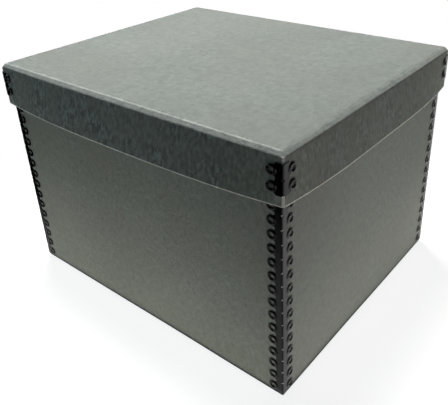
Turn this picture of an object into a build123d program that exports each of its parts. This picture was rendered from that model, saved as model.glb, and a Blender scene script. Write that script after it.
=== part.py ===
from build123d import *
import math
import os

# A record storage box of solid grey board: an open base tray under a telescoping lid.
# Each vertical corner is held by a folded strip of thin steel, the corner stay.
# Millimetres, +Z up. The origin is the centre of the base's underside, and the long
# sides run along X.

# Base tray, outside of the board
base_length = 387.0
base_width = 320.7
base_height = 268.3

# Solid board and its creases
board = 1.6
crease_radius = 0.4

# Lid tray: it slides over the base with an even gap all round
lid_gap = 2.9
skirt_depth = 48.9
long_bow = 9.9
short_bow = 7.3
corner_flare = 0.12

# Corner stays: steel strip folded lengthways, with a row of lobes along each flange
steel = 0.3
stay_bend = 0.9
web = 7.5
lobe_reach = 11.05
lobe_radius = 5.2
lobe_pitch = 14.75
valley_radius = 2.2
crease_hole_radius = 1.15

# Pressed ring in each lobe, and the two teeth that are driven through the board
ring_outer = 4.6
ring_inner = 2.5
ring_rise = 0.6
ring_lap = 0.2
tooth_hole_radius = 2.3
tooth_width = 1.2
tooth_foot = 4.5
tooth_point = 0.4

# Where the stays sit, least distances to the ends of the corner
base_stay_foot = 3.0
base_stay_head = 12.5
lid_stay_drop = 9.0
lid_stay_foot = 9.0

# Clearances, and how far a cut runs past what it cuts
slit_gap = 0.1
clinch_gap = 0.1
flared_gap = 0.15
flat_margin = 2.0
overrun = 1.0

# Sizes that follow from these; the fold's radius is the one outside the board
fold_radius = board + crease_radius
lid_length = base_length + 2 * (lid_gap + board)
lid_width = base_width + 2 * (lid_gap + board)
lid_top = base_height + board
skirt_drop = skirt_depth - fold_radius
flange = lobe_reach + lobe_radius
flat_run = flange + flat_margin
base_lobes = math.floor((base_height - base_stay_foot - base_stay_head) / lobe_pitch)
lid_lobes = math.floor((skirt_depth - lid_stay_drop - lid_stay_foot) / lobe_pitch)
lid_stay_height = lid_lobes * lobe_pitch
lid_stay_level = lid_top - lid_stay_drop - lid_stay_height

# The teeth bend where the ring's hole ends, and bite a little way into its lip
tooth_bite = 0.05
tooth_face = tooth_hole_radius + tooth_bite
tooth_back = tooth_face - steel
clinch_level = board + flared_gap + clinch_gap

# The bow of a skirt starts from nothing at its fold, so a stay's slope grows downwards
lid_slope_top = corner_flare * (lid_stay_drop - fold_radius) / skirt_drop
lid_slope_low = corner_flare * (lid_stay_drop + lid_stay_height - fold_radius) / skirt_drop

# The four corners, each with the way its stay is turned about Z
corners = {
    "front_right": (1, -1, 0),
    "back_right": (1, 1, 90),
    "back_left": (-1, 1, 180),
    "front_left": (-1, -1, 270),
}


def folded_panel(length, width, rise):
    """A flat panel with its outer face at z = 0 and a quarter fold along each side.

    The folds turn up when rise is 1 and down when it is -1. They stop one fold radius
    short of each corner, where the blank is cut out.
    """
    slant = math.sqrt(0.5)
    with BuildPart() as panel:
        with BuildSketch():
            Rectangle(length - 2 * fold_radius, width - 2 * fold_radius)
        extrude(amount=rise * board)
        for plane, span, run in ((Plane.YZ, width, length), (Plane.XZ, length, width)):
            for side in (-1, 1):
                crease = side * (span / 2 - fold_radius)
                outside = side * span / 2
                inside = side * (span / 2 - board)
                outer_middle = (
                    crease + side * fold_radius * slant,
                    rise * fold_radius * (1 - slant),
                )
                inner_middle = (
                    crease + side * crease_radius * slant,
                    rise * (fold_radius - crease_radius * slant),
                )
                with BuildSketch(plane):
                    with BuildLine():
                        Line((crease, rise * board), (crease, 0))
                        ThreePointArc((crease, 0), outer_middle, (outside, rise * fold_radius))
                        Line((outside, rise * fold_radius), (inside, rise * fold_radius))
                        ThreePointArc(
                            (inside, rise * fold_radius), inner_middle, (crease, rise * board)
                        )
                    make_face()
                extrude(amount=run / 2 - fold_radius, both=True)
    return panel.part


def flared_skirt(length, bow):
    """A skirt along X that hangs from z = 0, with its outer face on y = 0 at the fold.

    Its lower edge is straight beside the stays, where it leaves the corner at the
    flare's slope, and bows out between them. Every height between is a straight mix.
    """
    cut_end = length / 2 - fold_radius
    knee = length / 2 - flat_run
    knee_out = corner_flare * flat_run
    end_out = corner_flare * fold_radius
    with BuildPart() as skirt:
        for side in (-1, 1):
            with BuildSketch():
                with BuildLine():
                    Polyline(
                        (side * knee, 0),
                        (side * cut_end, 0),
                        (side * cut_end, board),
                        (side * knee, board),
                        close=True,
                    )
                make_face()
            with BuildSketch(Plane.XY.offset(-skirt_drop)):
                with BuildLine():
                    Polyline(
                        (side * knee, -knee_out),
                        (side * cut_end, -end_out),
                        (side * cut_end, board - end_out),
                        (side * knee, board - knee_out),
                        close=True,
                    )
                make_face()
            loft(ruled=True)
        with BuildSketch():
            with BuildLine():
                Polyline((-knee, 0), (knee, 0), (knee, board), (-knee, board), close=True)
            make_face()
        with BuildSketch(Plane.XY.offset(-skirt_drop)):
            with BuildLine():
                slopes = [(1, -corner_flare), (1, corner_flare)]
                Spline((-knee, -knee_out), (0, -bow), (knee, -knee_out), tangents=slopes)
                Line((knee, -knee_out), (knee, board - knee_out))
                Spline(
                    (-knee, board - knee_out),
                    (0, board - bow),
                    (knee, board - knee_out),
                    tangents=slopes,
                )
                Line((-knee, board - knee_out), (-knee, -knee_out))
            make_face()
        loft(ruled=True)
    return skirt.part


def lobe_planes(lobes, slope_low, slope_top):
    """The plane of each lobe of a stay on the board's outer face, normal outwards.

    The stay stands at the origin with one flange along -X, facing -Y, and the other
    along +Y, facing +X. The board under the first flange is y = slope * x, and the
    slope runs evenly from the stay's foot to its top.
    """
    height = lobes * lobe_pitch
    planes = []
    for index in range(lobes):
        level = (index + 0.5) * lobe_pitch
        slope = slope_low + (slope_top - slope_low) * level / height
        tilt = -lobe_reach * (slope_top - slope_low) / height
        planes.append(
            Plane((-lobe_reach, -slope * lobe_reach, level), (1, slope, 0), (slope, -1, tilt))
        )
        planes.append(
            Plane((slope * lobe_reach, lobe_reach, level), (-slope, 1, 0), (1, -slope, tilt))
        )
    return planes


def corner_stay(lobes, slope_low, slope_top, gap):
    """A whole stay with its foot at z = 0, its steel standing gap outside the board."""
    height = lobes * lobe_pitch
    uncut = flange + overrun
    planes = lobe_planes(lobes, slope_low, slope_top)
    with BuildPart() as stay:
        for level, slope in ((0, slope_low), (height, slope_top)):
            inner_corner = gap / (1 + slope)
            outer_corner = (gap + steel) / (1 + slope)
            inner_end = slope * uncut + gap
            outer_end = inner_end + steel
            with BuildSketch(Plane.XY.offset(level)):
                with BuildLine():
                    Polyline(
                        (-uncut, -inner_end),
                        (inner_corner, -inner_corner),
                        (inner_end, uncut),
                        (outer_end, uncut),
                        (outer_corner, -outer_corner),
                        (-uncut, -outer_end),
                        close=True,
                    )
                make_face()
        loft(ruled=True)
        middle = height / 2
        inner_fold = stay.edges().sort_by_distance((-stay_bend, stay_bend, middle))[0]
        fillet(inner_fold, stay_bend)
        outer_fold = stay.edges().sort_by_distance((flange, -flange, middle))[0]
        fillet(outer_fold, stay_bend + steel)

        # The scallops: everything beyond the web that isn't a lobe is cut away
        for plane, away in ((Plane.XZ, -1), (Plane.YZ, 1)):
            with BuildSketch(plane) as waste:
                with Locations((away * (web + uncut + overrun) / 2, middle)):
                    Rectangle(uncut + overrun - web, height + 2 * overrun)
                with Locations(*[(away * lobe_reach, (i + 0.5) * lobe_pitch) for i in range(lobes)]):
                    Circle(lobe_radius, mode=Mode.SUBTRACT)
                inner_corners = waste.vertices().filter_by_position(Axis.Y, 0, height)
                valleys = inner_corners.group_by(lambda v: round(abs(v.X) - web, 3))[0]
                fillet(valleys, valley_radius)
            extrude(amount=flange, both=True, mode=Mode.SUBTRACT)

        # Round holes along the fold, between the lobes and half open at the ends
        with BuildSketch(Plane((0, 0, 0), (1, 1, 0), (1, -1, 0))):
            with Locations(*[(0, i * lobe_pitch) for i in range(lobes + 1)]):
                Circle(crease_hole_radius)
        extrude(amount=flange, both=True, mode=Mode.SUBTRACT)

        # The pressed rings with their teeth replace the flat middle of each lobe
        with Locations(*[plane.offset(gap) for plane in planes]):
            Cylinder(ring_outer, 2 * overrun, mode=Mode.SUBTRACT)
            add(pressed_ring.part)
    return stay.part


# One pressed ring, seen from outside along +Z, with its inner face on z = 0.
# The steel rises in a round bead and comes back down to a flat lip around the hole.
# Two teeth turn down at the lip, run through the board and are clinched behind it.
ring_middle = (ring_outer + ring_inner) / 2
ring_rim = ring_outer + ring_lap
with BuildPart() as pressed_ring:
    with BuildSketch(Plane.XZ):
        with BuildLine():
            Line((tooth_hole_radius, 0), (ring_inner, 0))
            ThreePointArc((ring_inner, 0), (ring_middle, ring_rise), (ring_outer, 0))
            Polyline((ring_outer, 0), (ring_rim, 0), (ring_rim, steel), (ring_outer, steel))
            ThreePointArc(
                (ring_outer, steel), (ring_middle, ring_rise + steel), (ring_inner, steel)
            )
            Polyline((ring_inner, steel), (tooth_hole_radius, steel), (tooth_hole_radius, 0))
        make_face()
    revolve(axis=Axis.Z)
    for way in (-1, 1):
        with BuildSketch(Plane.YZ):
            with BuildLine():
                Polyline(
                    (way * tooth_back, steel),
                    (way * tooth_face, steel),
                    (way * tooth_face, -clinch_level),
                    (way * tooth_foot, -clinch_level),
                    (way * tooth_foot, -clinch_level - steel),
                    (way * tooth_back, -clinch_level - steel),
                    close=True,
                )
            make_face()
        extrude(amount=tooth_width / 2, both=True)
    points = pressed_ring.edges().filter_by(Axis.Z).group_by(SortBy.LENGTH)[0]
    tips = points.filter_by(lambda e: abs(e.center().Y) > tooth_foot - tooth_point)
    chamfer(tips, tooth_point)

# The two slits that one ring's teeth need in the board, cut to the same places
slit_middle = (tooth_face + tooth_back) / 2
slit_length = tooth_width + 2 * slit_gap
slit_height = steel + 2 * slit_gap
with BuildPart() as tooth_slits:
    with BuildSketch(Plane.XY.offset(overrun)):
        with Locations((0, slit_middle), (0, -slit_middle)):
            Rectangle(slit_length, slit_height)
    extrude(amount=-board - 2 * overrun)

# Base tray: bottom and four walls from one blank
base_panel = folded_panel(base_length, base_width, 1)
with BuildPart() as base_tray:
    add(base_panel)
    with BuildSketch(Plane.XY.offset(fold_radius)):
        with Locations((0, (base_width - board) / 2), (0, (board - base_width) / 2)):
            Rectangle(base_length - 2 * fold_radius, board)
        with Locations(((base_length - board) / 2, 0), ((board - base_length) / 2, 0)):
            Rectangle(board, base_width - 2 * fold_radius)
    extrude(amount=base_height - fold_radius)
    slit_levels = []
    for index in range(base_lobes):
        lobe_level = base_stay_foot + (index + 0.5) * lobe_pitch
        slit_levels += [lobe_level - slit_middle, lobe_level + slit_middle]
    wall_pairs = ((Plane.XZ, base_length, base_width), (Plane.YZ, base_width, base_length))
    for plane, span, across in wall_pairs:
        with BuildSketch(plane):
            for side in (-1, 1):
                with Locations(*[(side * (span / 2 - lobe_reach), z) for z in slit_levels]):
                    Rectangle(slit_length, slit_height)
        extrude(amount=across, both=True, mode=Mode.SUBTRACT)
base_tray.part.label = "base_tray"

# Where the stays stand, and where the lid's board needs slits for their teeth
base_places = {
    name: Location((x * base_length / 2, y * base_width / 2, base_stay_foot), (0, 0, turn))
    for name, (x, y, turn) in corners.items()
}
lid_places = {
    name: Location((x * lid_length / 2, y * lid_width / 2, lid_stay_level), (0, 0, turn))
    for name, (x, y, turn) in corners.items()
}
lid_slit_places = [
    place * plane.location
    for place in lid_places.values()
    for plane in lobe_planes(lid_lobes, lid_slope_low, lid_slope_top)
]

# Lid tray: top and four flared skirts from one blank
lid_panel = folded_panel(lid_length, lid_width, -1)
long_skirt = flared_skirt(lid_length, long_bow)
short_skirt = flared_skirt(lid_width, short_bow)
with BuildPart() as lid_tray:
    with Locations((0, 0, lid_top)):
        add(lid_panel)
    skirt_level = lid_top - fold_radius
    with Locations(
        Location((0, -lid_width / 2, skirt_level)),
        Location((0, lid_width / 2, skirt_level), (0, 0, 180)),
    ):
        add(long_skirt)
    with Locations(
        Location((lid_length / 2, 0, skirt_level), (0, 0, 90)),
        Location((-lid_length / 2, 0, skirt_level), (0, 0, 270)),
    ):
        add(short_skirt)
    with Locations(*lid_slit_places):
        add(tooth_slits.part, mode=Mode.SUBTRACT)
lid_tray.part.label = "lid_tray"

# The stays: one pattern for the base and one for the lid, four of each
base_stay = corner_stay(base_lobes, 0, 0, 0)
lid_stay = corner_stay(lid_lobes, lid_slope_low, lid_slope_top, flared_gap)
pieces = [base_tray.part, lid_tray.part]
for tray, blank, places in (("base", base_stay, base_places), ("lid", lid_stay, lid_places)):
    for name, place in places.items():
        with BuildPart() as placed_stay:
            with Locations(place):
                add(blank)
        placed_stay.part.label = f"{tray}_stay_{name}"
        pieces.append(placed_stay.part)

os.makedirs("parts", exist_ok=True)
for piece in pieces:
    export_step(piece, f"parts/{piece.label}.step")
    print(piece.label, len(piece.solids()), round(piece.volume, 1))
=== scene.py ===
"""A record storage box of grey board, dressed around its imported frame.

Shapes are worked out in millimetres, as in the part's source, and a mesh is in metres.
"""

import math

import bmesh
import bpy
import numpy as np
from mathutils import Matrix, Vector


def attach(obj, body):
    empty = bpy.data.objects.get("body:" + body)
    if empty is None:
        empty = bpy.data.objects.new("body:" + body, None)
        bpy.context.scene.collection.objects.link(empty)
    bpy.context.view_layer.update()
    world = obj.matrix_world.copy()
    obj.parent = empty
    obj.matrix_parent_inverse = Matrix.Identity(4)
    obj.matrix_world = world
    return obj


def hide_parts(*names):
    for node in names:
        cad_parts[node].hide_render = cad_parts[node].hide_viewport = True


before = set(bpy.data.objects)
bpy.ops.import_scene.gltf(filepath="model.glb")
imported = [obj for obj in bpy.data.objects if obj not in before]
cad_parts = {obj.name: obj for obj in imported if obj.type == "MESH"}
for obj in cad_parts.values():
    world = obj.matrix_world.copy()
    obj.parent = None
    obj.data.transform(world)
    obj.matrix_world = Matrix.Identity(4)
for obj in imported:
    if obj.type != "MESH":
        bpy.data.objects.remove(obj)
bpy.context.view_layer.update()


# Base tray: the open lower half of the box, which holds the records.
# It is solid grey board, cut as one cross-shaped blank and creased, then folded up into
# four walls, whose raw cut ends are pressed together at the corners.
base_length = 387.0
base_width = 320.7
base_height = 268.3
base_fold = 2.8
base_bend = 2.2
base_cut = 1.1
base_ripple = 0.16
base_rounding = 0.3
# How strongly the base walls carry upright streaks of painted sheen and painted shade.
base_painted_sheen = 0.12
board = 1.6
millimetre = 0.001
hair = 0.01
fine_steps = 2001


class Fold:
    """A right-angled fold in board, which takes up one reach of the panel and of the wall.

    Its line is an eighth of a circle, a straight facet at 45 degrees, and an eighth again.
    The bend is the circles' radius, and the facet spans what the circles leave of the reach.
    The wall's ends are cut off one cut short of the corner.
    """

    def __init__(self, reach, bend, cut):
        self.reach = reach
        self.bend = bend
        self.cut = cut
        self.arc = bend * math.pi / 4
        self.facet = (reach - bend) * math.sqrt(2)
        self.length = 2 * self.arc + self.facet
        past = np.linspace(0, self.length, fine_steps)
        across, rise, turned = self.follow(past)
        self.cut_past = float(np.interp(reach - cut, across, past))
        self.cut_turned = float(np.interp(self.cut_past, past, turned))

    def follow(self, past):
        """How far along, how high and how much turned the line is, past its start.

        Both circles together go their sine along and one less their cosine up, and the
        facet adds the same both ways. What is past the fold's end runs straight up.
        """
        on_facet = np.clip(past - self.arc, 0, self.facet)
        turned = np.clip((past - on_facet) / self.bend, 0, math.pi / 2)
        beyond = np.maximum(past - self.length, 0)
        along = self.bend * np.sin(turned) + on_facet / math.sqrt(2)
        rise = self.bend * (1 - np.cos(turned)) + on_facet / math.sqrt(2) + beyond
        return along, rise, turned


def folded(along, half_span, fold):
    """Where a strip goes that lies flat and is turned up at right angles at both ends.

    It is flat to the fold's reach short of the half span, and then follows the fold.
    Gives the distance across, the rise, and the angle turned so far.
    """
    flat = half_span - fold.reach
    across, rise, turned = fold.follow(np.maximum(np.abs(along) - flat, 0))
    return np.sign(along) * (np.minimum(np.abs(along), flat) + across), rise, turned


def squared(along, across, half_span, fold, lead):
    """Straightens the end of a wall, which folded() has turned towards its neighbour.

    lead is how much further the wall's own fold has turned than the neighbour's. From
    none to all that remains after the cut, the place goes smoothly over to a straight
    line that ends one cut short of the corner. Gives the new place and the share moved.
    """
    flat = half_span - fold.reach
    past = np.maximum(np.abs(along) - flat, 0) * (fold.reach - fold.cut) / fold.cut_past
    straight = np.sign(along) * (np.minimum(np.abs(along), flat) + past)
    t = np.clip(lead / (math.pi / 2 - fold.cut_turned), 0, 1)
    share = t * t * (3 - 2 * t)
    return across + share * (straight - across), share


fold_margin = 8.0
before_fold = np.array([4.0, 1.5])
fold_spacing = 0.9
fold_lines = 7
past_fold = (1.5, 5.0)
edge_margin = 6.0
before_edge = np.array([2.5, 0.8, 0.0])


def stations(half_span, fold, height, panel_steps, wall_steps):
    """Grid lines from one cut edge of a blank to the other, as distances from its middle.

    Even steps on the flat panel and the walls, and closer lines beside the folds and the
    cut edges. In a fold, the lines before the corner cut are at least one spacing apart, so
    that the board's thickness can turn the corner there, and the rest follow the cut.
    """
    flat = half_span - fold.reach
    cut = flat + fold.cut_past
    turn_end = flat + fold.length
    edge = turn_end + height - fold.reach
    half = np.concatenate(
        [
            np.linspace(0, flat - fold_margin, panel_steps),
            flat - before_fold,
            np.linspace(flat, cut, int(fold.cut_past / fold_spacing) + 1)[:-1],
            np.linspace(cut, turn_end, fold_lines),
            [turn_end + past_fold[0]],
            np.linspace(turn_end + past_fold[1], edge - edge_margin, wall_steps),
            edge - before_edge,
        ]
    )
    return np.concatenate([-half[:0:-1], half])


def cross_blank(u, v, u_cut, v_cut):
    """The grid of u by v without its four corners, which lie beyond both cuts.

    Gives the u and v of each point that is used, the quads between them, and the quads
    that join the cut ends of two neighbouring walls, row by row from the panel's corner.
    """
    u_middle = np.abs(u[:-1] + u[1:])[:, None] / 2
    v_middle = np.abs(v[:-1] + v[1:])[None, :] / 2
    kept = (u_middle < u_cut) | (v_middle < v_cut)
    first = np.arange(len(u) - 1)[:, None] * len(v) + np.arange(len(v) - 1)[None, :]
    quads = np.stack([first, first + len(v), first + len(v) + 1, first + 1], -1)[kept]
    used, numbers = np.unique(quads, return_inverse=True)
    rows = np.arange(np.count_nonzero(u > u_cut - hair))
    joins = []
    for u_side, v_side in ((1, 1), (-1, 1), (-1, -1), (1, -1)):
        u_at = np.argmin(np.abs(u - u_side * u_cut))
        v_at = np.argmin(np.abs(v - v_side * v_cut))
        u_end = np.searchsorted(used, (u_at + u_side * rows) * len(v) + v_at)
        v_end = np.searchsorted(used, u_at * len(v) + v_at + v_side * rows)
        join = np.stack([u_end[:-1], u_end[1:], v_end[1:], v_end[:-1]], -1)
        joins.append(join if u_side == v_side else join[:, ::-1])
    return u[used // len(v)], v[used % len(v)], numbers.reshape(-1, 4), np.concatenate(joins)


def new_piece(name, points, quads):
    """A smooth piece in the scene from points in millimetres and their quads.

    A quad that has one point twice becomes a triangle.
    """
    pinched = quads[:, 0] == quads[:, 3]
    faces = quads.tolist()
    for number in np.flatnonzero(pinched):
        faces[number].pop()
    mesh = bpy.data.meshes.new(name)
    mesh.from_pydata((points * millimetre).tolist(), [], faces)
    mesh.polygons.foreach_set("use_smooth", np.ones(len(mesh.polygons), bool))
    piece = bpy.data.objects.new(name, mesh)
    bpy.context.scene.collection.objects.link(piece)
    return piece


calm_run = 60.0


def slow_wave(u, v):
    """The unevenness of flat board, at most 2 either way.

    It is a sine of u times a sine of v, both some 350 mm long, with 0.6 and 0.4 of two
    slanting sines, some 170 mm long.
    """
    return (
        np.sin(u / 61 + 0.7) * np.sin(v / 53 + 1.9)
        + 0.6 * np.sin(u / 34 + v / 47 + 0.4)
        + 0.4 * np.sin(v / 29 - u / 71 + 2.6)
    )


def folded_tray(name, length, width, height, fold, shape, steps, ripple, upright, finish):
    """A tray folded from one blank, as the outer face of its board.

    The blank's points go through folded() both ways, and the rise is the root of the sum
    of both rises squared. shape gives how far a wall leans outwards at a distance from its
    corner and a depth below the fold. The walls end one cut short of the corner, where a
    strip of raw pulp joins them. The board waves by ripple, which fades beside the corners
    and the panel's folds as the square of the distance over the calm run. steps are the
    grid's along the panel, across it and up the walls. upright is 1 for a tray that stands
    open and -1 for a lid.
    """
    half_length = length / 2
    half_width = width / 2
    u_lines = stations(half_length, fold, height, steps[0], steps[2])
    v_lines = stations(half_width, fold, height, steps[1], steps[2])
    u_cut = half_length - fold.reach + fold.cut_past
    v_cut = half_width - fold.reach + fold.cut_past
    u, v, sheet, joins = cross_blank(u_lines, v_lines, u_cut, v_cut)
    quads = np.concatenate([sheet, joins])
    u_edge = u_lines[-1] - np.abs(u)
    v_edge = v_lines[-1] - np.abs(v)
    x, x_rise, x_turn = folded(u, half_length, fold)
    y, y_rise, y_turn = folded(v, half_width, fold)
    x, x_share = squared(u, x, half_length, fold, y_turn - x_turn)
    y, y_share = squared(v, y, half_width, fold, x_turn - y_turn)
    x_rise = x_rise * (1 - x_share)
    y_rise = y_rise * (1 - y_share)
    x_turn = x_turn * (1 - x_share)
    y_turn = y_turn * (1 - y_share)
    lean_x = shape(half_width - np.abs(y), half_width, x_rise)
    lean_y = shape(half_length - np.abs(x), half_length, y_rise)
    clear_u = np.clip((half_length - np.abs(x)) / calm_run, 0, 1)
    clear_v = np.clip((half_width - np.abs(y)) / calm_run, 0, 1)
    calm = np.where(x_rise > 0, clear_v, np.where(y_rise > 0, clear_u, clear_u * clear_v))
    swell = ripple * calm * calm * slow_wave(u, v)
    points = np.stack(
        [
            x + np.sign(x) * (lean_x + swell * np.sin(x_turn)),
            y + np.sign(y) * (lean_y + swell * np.sin(y_turn)),
            upright * (np.hypot(x_rise, y_rise) + np.abs(swell) * np.cos(x_turn) * np.cos(y_turn)),
        ],
        -1,
    )
    if upright > 0:
        quads = quads[:, [3, 2, 1, 0]]
    piece = new_piece(name, points, quads)
    raw = np.arange(len(quads)) >= len(sheet)
    piece.data.materials.append(finish.owner)
    piece.data.materials.append(raw_pulp.owner)
    piece.data.polygons.foreach_set("material_index", raw.astype(np.int32))
    turn_and_edge = np.stack([x_turn, y_turn, np.minimum(u_edge, v_edge)], -1)
    creases = piece.data.attributes.new("creases", "FLOAT_VECTOR", "POINT")
    creases.data.foreach_set("vector", turn_and_edge.astype(np.float32).ravel())
    return piece


def thicken(piece, thickness, rounding):
    """Gives a sheet its thickness inwards, and rounds its cut edges if asked.

    The cut edges start from the sheet's open sides, which belong to one face only.
    """
    wall = piece.modifiers.new("thickness", "SOLIDIFY")
    wall.thickness = thickness * millimetre
    wall.offset = -1
    wall.use_even_offset = True
    wall.material_offset_rim = 1
    if rounding:
        mesh = piece.data
        sides = np.empty(len(mesh.loops), np.int32)
        mesh.loops.foreach_get("edge_index", sides)
        weights = mesh.attributes.new("bevel_weight_edge", "FLOAT", "EDGE")
        open_sides = np.bincount(sides, minlength=len(mesh.edges)) == 1
        weights.data.foreach_set("value", open_sides.astype(np.float32))
        edges = piece.modifiers.new("cut_edges", "BEVEL")
        edges.width = rounding * millimetre
        edges.segments = 2
        edges.limit_method = "WEIGHT"
        edges.harden_normals = True


def upright_wall(from_corner, half_span, depth):
    """The base's walls stand straight."""
    return 0 * from_corner


class Wire:
    """A shader socket with arithmetic, where each operator adds a Math node."""

    def __init__(self, finish, socket):
        self.finish = finish
        self.socket = socket

    def math(self, operation, first, second):
        return self.finish.node("Math", {"operation": operation}, {0: first, 1: second})

    def __add__(self, other):
        return self.math("ADD", self, other)

    def __radd__(self, other):
        return self.math("ADD", other, self)

    def __sub__(self, other):
        return self.math("SUBTRACT", self, other)

    def __rsub__(self, other):
        return self.math("SUBTRACT", other, self)

    def __mul__(self, other):
        return self.math("MULTIPLY", self, other)

    def __rmul__(self, other):
        return self.math("MULTIPLY", other, self)

    def __abs__(self):
        return self.math("ABSOLUTE", self, 0.0)


class Finish:
    """A material, or the world, and the nodes that make it."""

    def __init__(self, owner):
        self.owner = owner
        owner.use_nodes = True
        self.tree = owner.node_tree
        self.tree.nodes.clear()

    def node(self, kind, settings, inputs, output=0):
        """Adds a node: its settings first, then the values or wires of its sockets."""
        made = self.tree.nodes.new("ShaderNode" + kind)
        for key, value in settings.items():
            setattr(made, key, value)
        for key, value in inputs.items():
            if isinstance(value, Wire):
                self.tree.links.new(value.socket, made.inputs[key])
            else:
                made.inputs[key].default_value = value
        return Wire(self, made.outputs[output])

    def noise(self, place, scale, detail, roughness=0.5):
        """Cloudy noise with so many clouds to the metre."""
        sockets = {"Vector": place, "Scale": scale, "Detail": detail, "Roughness": roughness}
        return self.node("TexNoise", {}, sockets)

    def turned(self, place, turn, stretch):
        """The same place, turned and scaled."""
        return self.node("Mapping", {}, {"Vector": place, "Rotation": turn, "Scale": stretch})

    def step(self, value, low, high):
        """0 below low, 1 above high, and a smooth step between them."""
        settings = {"interpolation_type": "SMOOTHSTEP"}
        return self.node("MapRange", settings, {0: value, 1: low, 2: high})

    def blend(self, share, first, second):
        """The first colour where share is 0, the second where it is 1."""
        return self.node("Mix", {"data_type": "RGBA"}, {0: share, 6: first, 7: second}, 2)

    def surface(self, shader, kind="OutputMaterial"):
        """Makes this shader the surface."""
        self.node(kind, {}, {"Surface": shader}, slice(0))

    def principled(self, sockets):
        """Makes the surface a Principled shader with these values or wires."""
        self.surface(self.node("BsdfPrincipled", {}, sockets))


def painted(red, green, blue):
    """An opaque colour from its values out of 255, as a picture shows them."""
    parts = np.array([red, green, blue]) / 255
    linear = np.where(parts > 0.04045, ((parts + 0.055) / 1.055) ** 2.4, parts / 12.92)
    return (*linear.tolist(), 1.0)


dark_pulp = painted(121, 127, 122)
light_pulp = painted(167, 172, 166)
warm_pulp = painted(147, 146, 139)
light_thread = painted(190, 192, 186)
dark_thread = painted(92, 95, 94)
# Streak colours: painted shade and painted sheen, bluish like the cool side light.
streak_painted_shade = painted(96, 105, 106)
streak_painted_sheen = painted(174, 190, 192)
# Pale board at the folds: rubbing, and a painted highlight along them.
rubbed_and_highlit_ridge = painted(214, 218, 212)
# Raw pulp at cut edges, whitened further as a painted highlight along the edge.
raw_edge_and_highlight = painted(248, 249, 242)


def grey_board(name, painted_sheen_share):
    """Grey board: pulp in cloudy greys with pale and dark fibres, pale at the folds.

    The pale band follows how far the board has turned, and is rubbing with a painted
    highlight on it. The long folds are pale most where they leave the panel, and the short
    ones less, across their facets, as their painted highlight is fainter. The last millimetre
    at a cut edge is raw pulp, whitened further as a painted highlight. The walls have short
    upright streaks of painted sheen and painted shade, bluish light and dark, by the share of
    painted sheen, and the short walls about half as strong.
    """
    finish = Finish(bpy.data.materials.new(name))
    place = finish.node("TexCoord", {}, {}, "Object")
    drift = finish.noise(place, 6, 2)
    hue = finish.noise(finish.turned(place, (0.4, 0.2, 0.9), (1, 1, 1)), 11, 3)
    mottle = finish.noise(place, 150, 4, 0.62)
    pulp = finish.noise(place, 800, 3, 0.6)
    light_fibre = finish.noise(finish.turned(place, (0.6, 0.9, 0.4), (1, 5, 5)), 190, 2)
    dark_fibre = finish.noise(finish.turned(place, (-0.5, 0.4, 1.3), (5, 1, 5)), 170, 2)
    streaks = finish.noise(finish.turned(place, (0, 0, 0), (1, 1, 0.5)), 300, 3, 0.6)
    tone = 0.5 + (drift - 0.5) * 0.5 + (mottle - 0.5) * 0.9 + (pulp - 0.5) * 0.5
    plain = finish.blend(tone, dark_pulp, light_pulp)
    warm = finish.blend(finish.step(hue, 0.42, 0.62) * 0.28, plain, warm_pulp)
    pale_fibres = finish.step(light_fibre, 0.62, 0.74) * 0.3
    flecked = finish.blend(pale_fibres, warm, light_thread)
    dark_fibres = finish.step(dark_fibre, 0.64, 0.76) * 0.3
    specked = finish.blend(dark_fibres, flecked, dark_thread)
    creases = finish.node("Attribute", {"attribute_name": "creases"}, {}, "Vector")
    turned_u = finish.node("SeparateXYZ", {}, {0: creases}, 0)
    turned_v = finish.node("SeparateXYZ", {}, {0: creases}, 1)
    to_edge = finish.node("SeparateXYZ", {}, {0: creases}, 2)
    patches = finish.step(finish.noise(place, 40, 2), 0.4, 0.6) * 0.6 + 0.4
    long_wall = finish.step(turned_v, 1.0, 1.5)
    wall = (long_wall + finish.step(turned_u, 1.0, 1.5) * 0.45) * patches * painted_sheen_share
    # Upright streaks of painted shade and painted sheen, strongest on the long walls.
    shade_streaked = finish.blend((1 - finish.step(streaks, 0.36, 0.52)) * wall, specked, streak_painted_shade)
    sheen_streaked = finish.blend(finish.step(streaks, 0.49, 0.63) * wall, shade_streaked, streak_painted_sheen)
    # Pale folds: rubbing in patches with a painted highlight; the short folds get a fainter
    # painted highlight.
    rub_and_highlight_patches = finish.step(mottle, 0.3, 0.6) * 0.5 + 0.5
    ridge_u = (1 - finish.step(abs(turned_u - 0.75), 0.2, 0.4)) * 0.6
    ridge_v = 1 - finish.step(abs(turned_v - 0.42), 0.25, 0.42)
    ridge_rub_and_highlight = ridge_u.math("MAXIMUM", ridge_u, ridge_v) * rub_and_highlight_patches
    # The last millimetre at a cut edge: raw pulp, whitened further as a painted highlight.
    raw_rim_and_highlight = (1 - finish.step(to_edge, 1.0, 1.6)) * (rub_and_highlight_patches * 0.3 + 0.7)
    ridge_rubbed_and_highlit = finish.blend(ridge_rub_and_highlight * 0.65, sheen_streaked, rubbed_and_highlit_ridge)
    edged = finish.blend(raw_rim_and_highlight, ridge_rubbed_and_highlit, raw_edge_and_highlight)
    nap = pulp * 0.25 + mottle * 0.25 + streaks * 0.5
    relief = finish.node("Bump", {}, {"Strength": 0.8, "Distance": 0.002, "Height": nap})
    finish.principled(
        {
            "Base Color": edged,
            "Roughness": 0.62 + (mottle - 0.5) * 0.25,
            "Specular IOR Level": 0.06,
            "Normal": relief,
        }
    )
    return finish


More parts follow.
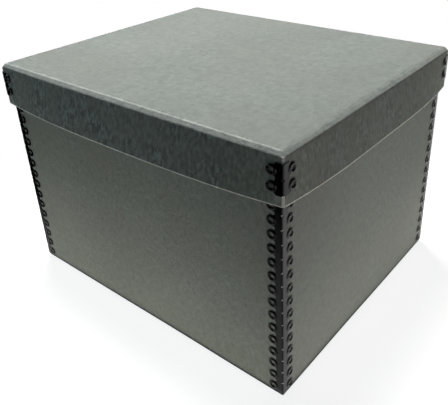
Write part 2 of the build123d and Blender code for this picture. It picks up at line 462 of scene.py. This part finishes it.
# The board's core, bare where the blank was cut: pale pulp in thin layers.
raw_pulp = Finish(bpy.data.materials.new("raw_pulp"))
on_pulp = raw_pulp.node("TexCoord", {}, {}, "Object")
layers = raw_pulp.noise(raw_pulp.turned(on_pulp, (0, 0, 0), (1, 1, 3)), 700, 3, 0.6)
clumps = raw_pulp.noise(on_pulp, 260, 3)
pulp_share = raw_pulp.step(layers * 0.6 + clumps * 0.4, 0.3, 0.7)
fuzz = raw_pulp.node("Bump", {}, {"Strength": 0.5, "Distance": 0.0001, "Height": layers})
raw_pulp.principled(
    {
        "Base Color": raw_pulp.blend(pulp_share, painted(228, 230, 222), painted(249, 250, 243)),
        "Roughness": 0.85 + (clumps - 0.5) * 0.1,
        "Specular IOR Level": 0.2,
        "Normal": fuzz,
    }
)

base_board = folded_tray(
    "base_board",
    base_length,
    base_width,
    base_height,
    Fold(base_fold, base_bend, base_cut),
    upright_wall,
    (26, 22, 30),
    base_ripple,
    1,
    grey_board("base_board", base_painted_sheen),
)
thicken(base_board, board, base_rounding)
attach(base_board, "base")
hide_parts("base_tray")


# Base corner stays: four strips of thin steel, black enamelled, that hold the walls together.
# Each is folded lengthways over its corner, with round holes along the fold. Each lobe has a
# pressed ring, and two teeth that go through the board and are clinched flat behind it.
steel = 0.3
stay_bend = 0.9
web = 7.5
lobe_reach = 11.05
lobe_radius = 5.2
lobe_pitch = 14.75
valley_radius = 2.2
fold_hole_high = 1.15
fold_hole_wide = 1.5
ring_outer = 4.6
ring_inner = 2.5
ring_rise = 0.6
ring_sides = 32
tooth_face = 2.05
tooth_width = 1.2
tooth_sunk = 0.03
lip_bend = 0.3
clinch_bend = 0.35
gap_run = 5.0
weld = 0.004
base_stay_foot = 3.0
base_lobes = 17

corners = {
    "front_right": (1, -1, 0),
    "back_right": (1, 1, 1),
    "back_left": (-1, 1, 2),
    "front_left": (-1, -1, 3),
}


def grid_quads(rows, columns, closed=False):
    """The quads of a grid of points, row by row, whose last column may join its first."""
    first = np.arange(rows - 1)[:, None] * columns
    column = np.arange(columns if closed else columns - 1)[None, :]
    following = (column + 1) % columns
    above = first + columns
    quads = np.stack([first + column, first + following, above + following, above + column], -1)
    return quads.reshape(-1, 4)


def ring_patch():
    """One lobe as a round plate with a hole, in (away from fold, up, out).

    Circles of growing radius share one set of directions. The plate is flat at the hole
    and at the rim, and rises between them as (1 - t squared) to the power 1.3.
    """
    radius = np.array([2.3, 2.4, 2.5, 2.75, 3.1, 3.55, 4.0, 4.35, 4.6, 5.05, 5.2])[:, None]
    angle = np.linspace(0, 2 * math.pi, ring_sides, endpoint=False)[None, :]
    middle = (ring_outer + ring_inner) / 2
    across = np.clip((radius - middle) * 2 / (ring_outer - ring_inner), -1, 1)
    out = ring_rise * (1 - across**2) ** 1.3 + 0 * angle
    away = lobe_reach - radius * np.cos(angle)
    up = radius * np.sin(angle)
    return np.stack([away, up, out], -1).reshape(-1, 3), grid_quads(*away.shape, closed=True)


def web_patch():
    """The strip between the fold and one lobe, in (away from fold, up, out).

    Each row runs from the fold, or from the edge of the hole in it, to the outline: the
    lobe's circle, at the same heights as the ring's points, then the valley between two
    lobes, which is an arc that meets the straight edge of the web.
    """
    half_pitch = lobe_pitch / 2
    directions = np.linspace(0, 2 * math.pi, ring_sides, endpoint=False)
    circle_up = lobe_radius * np.sin(directions[: ring_sides // 4])
    valley_levels = [5.16, 5.37, 5.72]
    hole_levels = [6.225, 6.33, 6.55, 6.95, half_pitch]
    upper = np.concatenate([circle_up, valley_levels, hole_levels])
    up = np.concatenate([-upper[:0:-1], upper])
    high = np.abs(up)
    apart = lobe_radius + valley_radius
    valley_up = math.sqrt(apart**2 - (lobe_reach - web - valley_radius) ** 2)
    circle = lobe_reach - np.sqrt(np.maximum(lobe_radius**2 - high**2, 0))
    in_valley = np.minimum(high - valley_up, 0)
    valley = web + valley_radius - np.sqrt(np.maximum(valley_radius**2 - in_valley**2, 0))
    outline = np.where(high < circle_up[-1] + hair, circle, valley)
    notch = np.maximum(1 - ((half_pitch - high) / fold_hole_high) ** 2, 0)
    start = fold_hole_wide * np.sqrt(notch)
    share = np.array([0, 0.035, 0.07, 0.105, 0.14, 0.35, 0.65, 0.97, 1])
    away = start[:, None] + (outline - start)[:, None] * share
    points = np.stack([away, up[:, None] + 0 * away, 0 * away], -1)
    return points.reshape(-1, 3), grid_quads(*away.shape)[:, ::-1]


def tooth_patch(way, behind):
    """One tooth as a ribbon, in (away from fold, up, out), its face towards the hole.

    Its line starts in the hole's lip, turns inwards, runs through the board and turns
    away from the hole behind it, where the ribbon narrows to a point.
    """
    turn = np.linspace(0, math.pi / 2, 5)
    tip_reach = [1.05, 1.75, 2.45]
    tip_depth = [-behind - 0.04, -behind - 0.02, -behind + 0.12]
    tip_half_width = [0.55, 0.42, 0.1]
    bends = [lip_bend * (1 - np.sin(turn)), clinch_bend * (1 - np.cos(turn)), tip_reach]
    reach = tooth_face + np.concatenate(bends)
    depth = np.concatenate(
        [
            -tooth_sunk - lip_bend * (1 - np.cos(turn)),
            -behind + clinch_bend * (1 - np.sin(turn)),
            tip_depth,
        ]
    )
    half_width = np.full(len(reach), tooth_width / 2)
    half_width[-3:] = tip_half_width
    side = np.array([-1.0, 0.0, 1.0])
    away = lobe_reach + half_width[:, None] * side
    points = np.stack([away, way * reach[:, None] + 0 * away, depth[:, None] + 0 * away], -1)
    quads = grid_quads(*away.shape)
    return points.reshape(-1, 3), quads[:, ::-1] if way > 0 else quads


def stay_half(lobes, behind):
    """One flange of a stay, flat, with its foot at height 0: its patches, once for each lobe."""
    patches = [ring_patch(), web_patch(), tooth_patch(1, behind), tooth_patch(-1, behind)]
    patch_points, patch_quads = zip(*patches)
    sizes = np.cumsum([0] + [len(points) for points in patch_points])
    points = np.concatenate(patch_points)
    quads = np.concatenate([quads + size for quads, size in zip(patch_quads, sizes)])
    levels = (np.arange(lobes) + 0.5) * lobe_pitch
    lift = np.stack([0 * levels, levels, 0 * levels], -1)
    every_point = points[None] + lift[:, None]
    every_quad = quads[None] + (np.arange(lobes) * sizes[-1])[:, None, None]
    return every_point.reshape(-1, 3), every_quad.reshape(-1, 4)


def corner_stay(name, lobes, slope_low, slope_top, gap, corner, turns, foot):
    """A folded stay at a corner of the box, as the outer face of its steel.

    The flat flange is bent round an arc at the fold, and the other flange is its mirror
    image about the fold. slope is how far the board leaves the corner's line for each
    millimetre away from it, and it grows evenly downwards. gap is the air under the steel.
    """
    points, quads = stay_half(lobes, steel + gap + board + steel - tooth_sunk)
    away, up, out = points.T
    outer_bend = stay_bend + steel
    arc = outer_bend * math.pi / 4
    angle = np.minimum(away / outer_bend, math.pi / 4) - math.pi / 4
    straight = np.maximum(away - arc, 0)
    x = -stay_bend + outer_bend * np.sin(-angle) - straight
    y = stay_bend - outer_bend * np.cos(angle) - out
    slope = slope_low + (slope_top - slope_low) * up / (lobes * lobe_pitch)
    near_fold = np.clip(1 - away / gap_run, 0, 1)
    y = y - gap + slope * np.minimum(x, 0)
    x = x + gap * near_fold
    one = np.stack([x, y, up], -1)
    other = np.stack([-y, -x, up], -1)
    both = np.concatenate([one, other])
    both_quads = np.concatenate([quads, quads[:, ::-1] + len(one)])
    cosine = round(math.cos(turns * math.pi / 2))
    sine = round(math.sin(turns * math.pi / 2))
    placed = np.stack(
        [
            corner[0] + cosine * both[:, 0] - sine * both[:, 1],
            corner[1] + sine * both[:, 0] + cosine * both[:, 1],
            foot + both[:, 2],
        ],
        -1,
    )
    piece = new_piece(name, placed, both_quads)
    shell = bmesh.new()
    shell.from_mesh(piece.data)
    bmesh.ops.remove_doubles(shell, verts=shell.verts, dist=weld * millimetre)
    shell.to_mesh(piece.data)
    shell.free()
    thicken(piece, steel, 0)
    return piece


# Black enamel with a fine orange peel, a little dust in it, and smears that dull its gloss.
enamel = Finish(bpy.data.materials.new("black_enamel"))
on_enamel = enamel.node("TexCoord", {}, {}, "Object")
peel = enamel.noise(on_enamel, 900, 2)
dust = enamel.noise(on_enamel, 320, 4, 0.65)
smear = enamel.noise(on_enamel, 45, 3)
dusted = enamel.step(dust, 0.55, 0.8) * 0.25
skin = enamel.node("Bump", {}, {"Strength": 0.25, "Distance": 0.00006, "Height": peel})
enamel.principled(
    {
        "Base Color": enamel.blend(dusted, painted(5, 5, 6), painted(30, 31, 32)),
        "Roughness": 0.17 + (smear - 0.5) * 0.1 + enamel.step(dust, 0.5, 0.8) * 0.1,
        "Specular IOR Level": 0.25,
        "Normal": skin,
    }
)

# Bare steel at the punched edges, drawn out by the shear and a little tarnished.
cut_steel = Finish(bpy.data.materials.new("cut_steel"))
on_steel = cut_steel.node("TexCoord", {}, {}, "Object")
shear = cut_steel.noise(cut_steel.turned(on_steel, (0, 0, 0), (1, 1, 0.3)), 1500, 2)
tarnish = cut_steel.step(cut_steel.noise(on_steel, 240, 3), 0.35, 0.65)
cut_steel.principled(
    {
        "Base Color": cut_steel.blend(tarnish, painted(128, 128, 126), painted(74, 73, 71)),
        "Metallic": 0.9,
        "Roughness": 0.4 + (shear - 0.5) * 0.3,
    }
)

for name, (x_side, y_side, turns) in corners.items():
    corner = (x_side * base_length / 2, y_side * base_width / 2)
    stay = corner_stay(
        "base_corner_" + name, base_lobes, 0, 0, 0, corner, turns, base_stay_foot
    )
    stay.data.materials.append(enamel.owner)
    stay.data.materials.append(cut_steel.owner)
    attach(stay, "base")
    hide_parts("base_stay_" + name)


# Lid tray: the telescoping lid, folded from one blank of the same board as the base.
# Its skirts lean outwards from the fold and bow between the corners, so the lid stands
# off the base more in the middle of each side than at the stays.
lid_length = 396.0
lid_width = 329.7
lid_top = 269.9
lid_fold = 5.0
lid_bend = 2.5
lid_cut = 1.8
lid_ripple = 0.1
lid_rounding = 0.7
# How strongly the lid skirts carry upright streaks of painted sheen and painted shade.
lid_painted_sheen = 0.7
skirt_depth = 48.9
corner_flare = 0.12
flat_run = 18.25
long_bow = 9.9
short_bow = 7.3
lean_start = 2.0


def bowed_skirt(from_corner, half_span, depth):
    """How far a skirt stands out, by the distance from its corner and below the top.

    The lower edge is straight beside the stay and leaves the corner at the flare's slope.
    Then a cubic curve carries it to the bow in the middle, where it runs level. Above,
    it fades away with the depth squared over the sum of the depth and the lean's start.
    """
    bow = long_bow if half_span > lid_width / 2 else short_bow
    run = half_span - flat_run
    t = np.clip((from_corner - flat_run) / run, 0, 1)
    curve = (
        corner_flare * flat_run * (2 * t**3 - 3 * t**2)
        + corner_flare * run * (t**3 - 2 * t**2 + t)
        + bow * (3 * t**2 - 2 * t**3)
    )
    lower_edge = corner_flare * np.minimum(from_corner, flat_run) + curve
    return lower_edge * depth**2 / (depth + lean_start) / (skirt_depth - lean_start)


lid_board = folded_tray(
    "lid_board",
    lid_length,
    lid_width,
    skirt_depth,
    Fold(lid_fold, lid_bend, lid_cut),
    bowed_skirt,
    (36, 30, 8),
    lid_ripple,
    -1,
    grey_board("lid_board", lid_painted_sheen),
)
lid_board.data.transform(Matrix.Translation((0, 0, lid_top * millimetre)))
thicken(lid_board, board, lid_rounding)
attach(lid_board, "lid")
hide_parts("lid_tray")


# Lid corner stays: the same pressed steel strip, cut two lobes long for each lid corner.
# They follow the skirts' lean and stand a hair off the board.
lid_lobes = 2
lid_stay_drop = 9.0
flared_gap = 0.15
lid_stay_height = lid_lobes * lobe_pitch
lid_stay_level = lid_top - lid_stay_drop - lid_stay_height
skirt_drop = skirt_depth - lean_start
slope_top = corner_flare * (lid_stay_drop - lean_start) / skirt_drop
slope_low = corner_flare * (lid_stay_drop + lid_stay_height - lean_start) / skirt_drop

for name, (x_side, y_side, turns) in corners.items():
    corner = (x_side * lid_length / 2, y_side * lid_width / 2)
    stay = corner_stay(
        "lid_corner_" + name,
        lid_lobes,
        slope_low,
        slope_top,
        flared_gap,
        corner,
        turns,
        lid_stay_level,
    )
    stay.data.materials.append(enamel.owner)
    stay.data.materials.append(cut_steel.owner)
    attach(stay, "lid")
    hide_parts("lid_stay_" + name)


# The studio: a white floor and a low round wall, a soft lamp overhead, a cool one from the left
# and two low ones for fill. A card and a screen, seen in gloss alone, glow as painted reflections
# on the stays: the card pale beside the box and black further off, the screen black.
# The camera stands where the photograph was taken from, turned a little about its axis.
floor_reach = 9000.0
floor_drop = 0.05
wall_radius = 7000.0
wall_height = 3000.0
wall_sides = 48
card_left = -1600.0
card_right = 300.0
card_front = -1600.0
card_back = -164.0
card_level = 3.0
screen_radius = 1610.0
screen_height = 1700.0


def white_stage(name, near_share):
    """Pale matt paint that shows as white to the camera and in gloss, but keeps shadows.

    Beside the box near_share of white is added to its own shade. Further off it is white
    alone, and its own colour darkens, so the far floor throws little light on the box.
    """
    finish = Finish(bpy.data.materials.new(name))
    place = finish.node("TexCoord", {}, {}, "Object")
    distance = finish.node("VectorMath", {"operation": "LENGTH"}, {0: place}, "Value")
    far = finish.step(distance, 0.32, 0.56)
    camera = finish.node("LightPath", {}, {}, "Is Camera Ray")
    glossy = finish.node("LightPath", {}, {}, "Is Glossy Ray")
    through = finish.node("LightPath", {}, {}, "Is Transmission Ray")
    shown = camera.math("MINIMUM", camera + glossy + through, 1.0)
    colour = finish.blend(far, painted(196, 196, 194), painted(80, 82, 84))
    matt = finish.node("BsdfPrincipled", {}, {"Base Color": colour, "Specular IOR Level": 0.0})
    glow = finish.node("Emission", {}, {"Color": (1, 1, 1, 1), "Strength": near_share})
    white = finish.node("Emission", {}, {"Color": (1, 1, 1, 1), "Strength": 1.0})
    lit = finish.node("AddShader", {}, {0: matt, 1: glow})
    near = finish.node("MixShader", {}, {0: shown, 1: matt, 2: lit})
    finish.surface(finish.node("MixShader", {}, {0: shown * far, 1: near, 2: white}))
    return finish


def round_wall(radius, height):
    """An upright round wall on the floor: its lower ring of points, then its upper ring."""
    turn = np.linspace(0, 2 * math.pi, wall_sides, endpoint=False)
    lower = np.stack([radius * np.sin(turn), radius * np.cos(turn), 0 * turn], -1)
    return np.concatenate([lower, lower + (0, 0, height)])


floor_lines = np.linspace(-floor_reach, floor_reach, 3)
floor_level = np.full((3, 3), -floor_drop)
floor_points = np.stack([*np.meshgrid(floor_lines, floor_lines), floor_level], -1)
floor = new_piece("floor", floor_points.reshape(-1, 3), grid_quads(3, 3))
floor.data.materials.append(white_stage("white_floor", 0.86).owner)

wall_quads = grid_quads(2, wall_sides, closed=True)
backdrop = new_piece("backdrop", round_wall(wall_radius, wall_height), wall_quads)
backdrop.data.materials.append(white_stage("white_backdrop", 1.0).owner)

card_sides = (card_left, card_right)
card_corners = [(x, y, card_level) for y in (card_back, card_front) for x in card_sides]
card = new_piece("painted_reflection", np.array(card_corners), grid_quads(2, 2))
screen = new_piece("dark_screen", round_wall(screen_radius, screen_height), wall_quads)
# The card's glow is a painted reflection for the stays: pale grey beside the box, fading to black.
painted_reflection = Finish(bpy.data.materials.new("painted_reflection"))
on_card = painted_reflection.node("TexCoord", {}, {}, "Object")
from_middle = painted_reflection.node("VectorMath", {"operation": "LENGTH"}, {0: on_card}, "Value")
further = painted_reflection.step(from_middle, 0.24, 0.45)
reflection_fade = painted_reflection.blend(further, (0.6, 0.6, 0.6, 1), (0.005, 0.005, 0.005, 1))
painted_reflection.surface(painted_reflection.node("Emission", {}, {"Color": reflection_fade, "Strength": 1.0}))
for dark in (card, screen):
    dark.data.materials.append(painted_reflection.owner)
    dark.visible_camera = False
    dark.visible_diffuse = False
    dark.visible_shadow = False

world = bpy.data.worlds.new("studio")
bpy.context.scene.world = world
sky = Finish(world)
dim = sky.node("Background", {}, {"Color": (0.6, 0.9, 1, 1), "Strength": 0.045})
sky.surface(dim, "OutputWorld")


def soft_lamp(name, place, target, size, power, colour, glossy):
    """A rectangular lamp that faces its target, seen in gloss or not at all."""
    data = bpy.data.lights.new(name, "AREA")
    data.shape = "RECTANGLE"
    data.size = size[0]
    data.size_y = size[1]
    data.energy = power
    data.color = colour
    lamp = bpy.data.objects.new(name, data)
    lamp.location = place
    lamp.rotation_euler = (Vector(target) - Vector(place)).to_track_quat("-Z", "Y").to_euler()
    lamp.visible_camera = False
    lamp.visible_glossy = glossy
    bpy.context.scene.collection.objects.link(lamp)


overhead = (-0.34, 0.25, 1.55)
soft_lamp("overhead", overhead, (0, 0.02, 0.27), (0.6, 0.5), 25, (1, 1, 0.99), True)
left = (-1.3, -0.64, 0.47)
soft_lamp("left", left, (0.19, -0.16, 0.15), (0.2, 0.25), 2.3, (0.66, 0.92, 1), True)
front_low = (-0.12, -0.262, 0.004)
soft_lamp("front_low", front_low, (-0.12, -0.262, 1), (0.62, 0.2), 0.345, (1, 0.945, 0.82), False)
right_low = (0.596, 0.1, 0.004)
soft_lamp("right_low", right_low, (0.596, 0.1, 1), (0.8, 0.7), 1.92, (1, 0.94, 0.885), False)

camera_data = bpy.data.cameras.new("camera")
camera_data.sensor_width = 36
camera_data.lens = 46.28
camera_data.shift_x = -0.0469
camera_data.shift_y = -0.1172
camera = bpy.data.objects.new("camera", camera_data)
camera_place = (0.42185, -0.48071, 0.46897)
azimuth = math.radians(39.59)
elevation = math.radians(26.75)
roll = math.radians(-2.12)
back = Vector(
    (
        math.sin(azimuth) * math.cos(elevation),
        -math.cos(azimuth) * math.cos(elevation),
        math.sin(elevation),
    )
)
level_right = Vector((math.cos(azimuth), math.sin(azimuth), 0))
level_up = back.cross(level_right)
right = level_right * math.cos(roll) + level_up * math.sin(roll)
up = back.cross(right)
turned = Matrix((right, up, back)).transposed().to_4x4()
camera.matrix_world = Matrix.Translation(camera_place) @ turned
bpy.context.scene.collection.objects.link(camera)
bpy.context.scene.camera = camera

bpy.context.scene.view_settings.view_transform = "Standard"
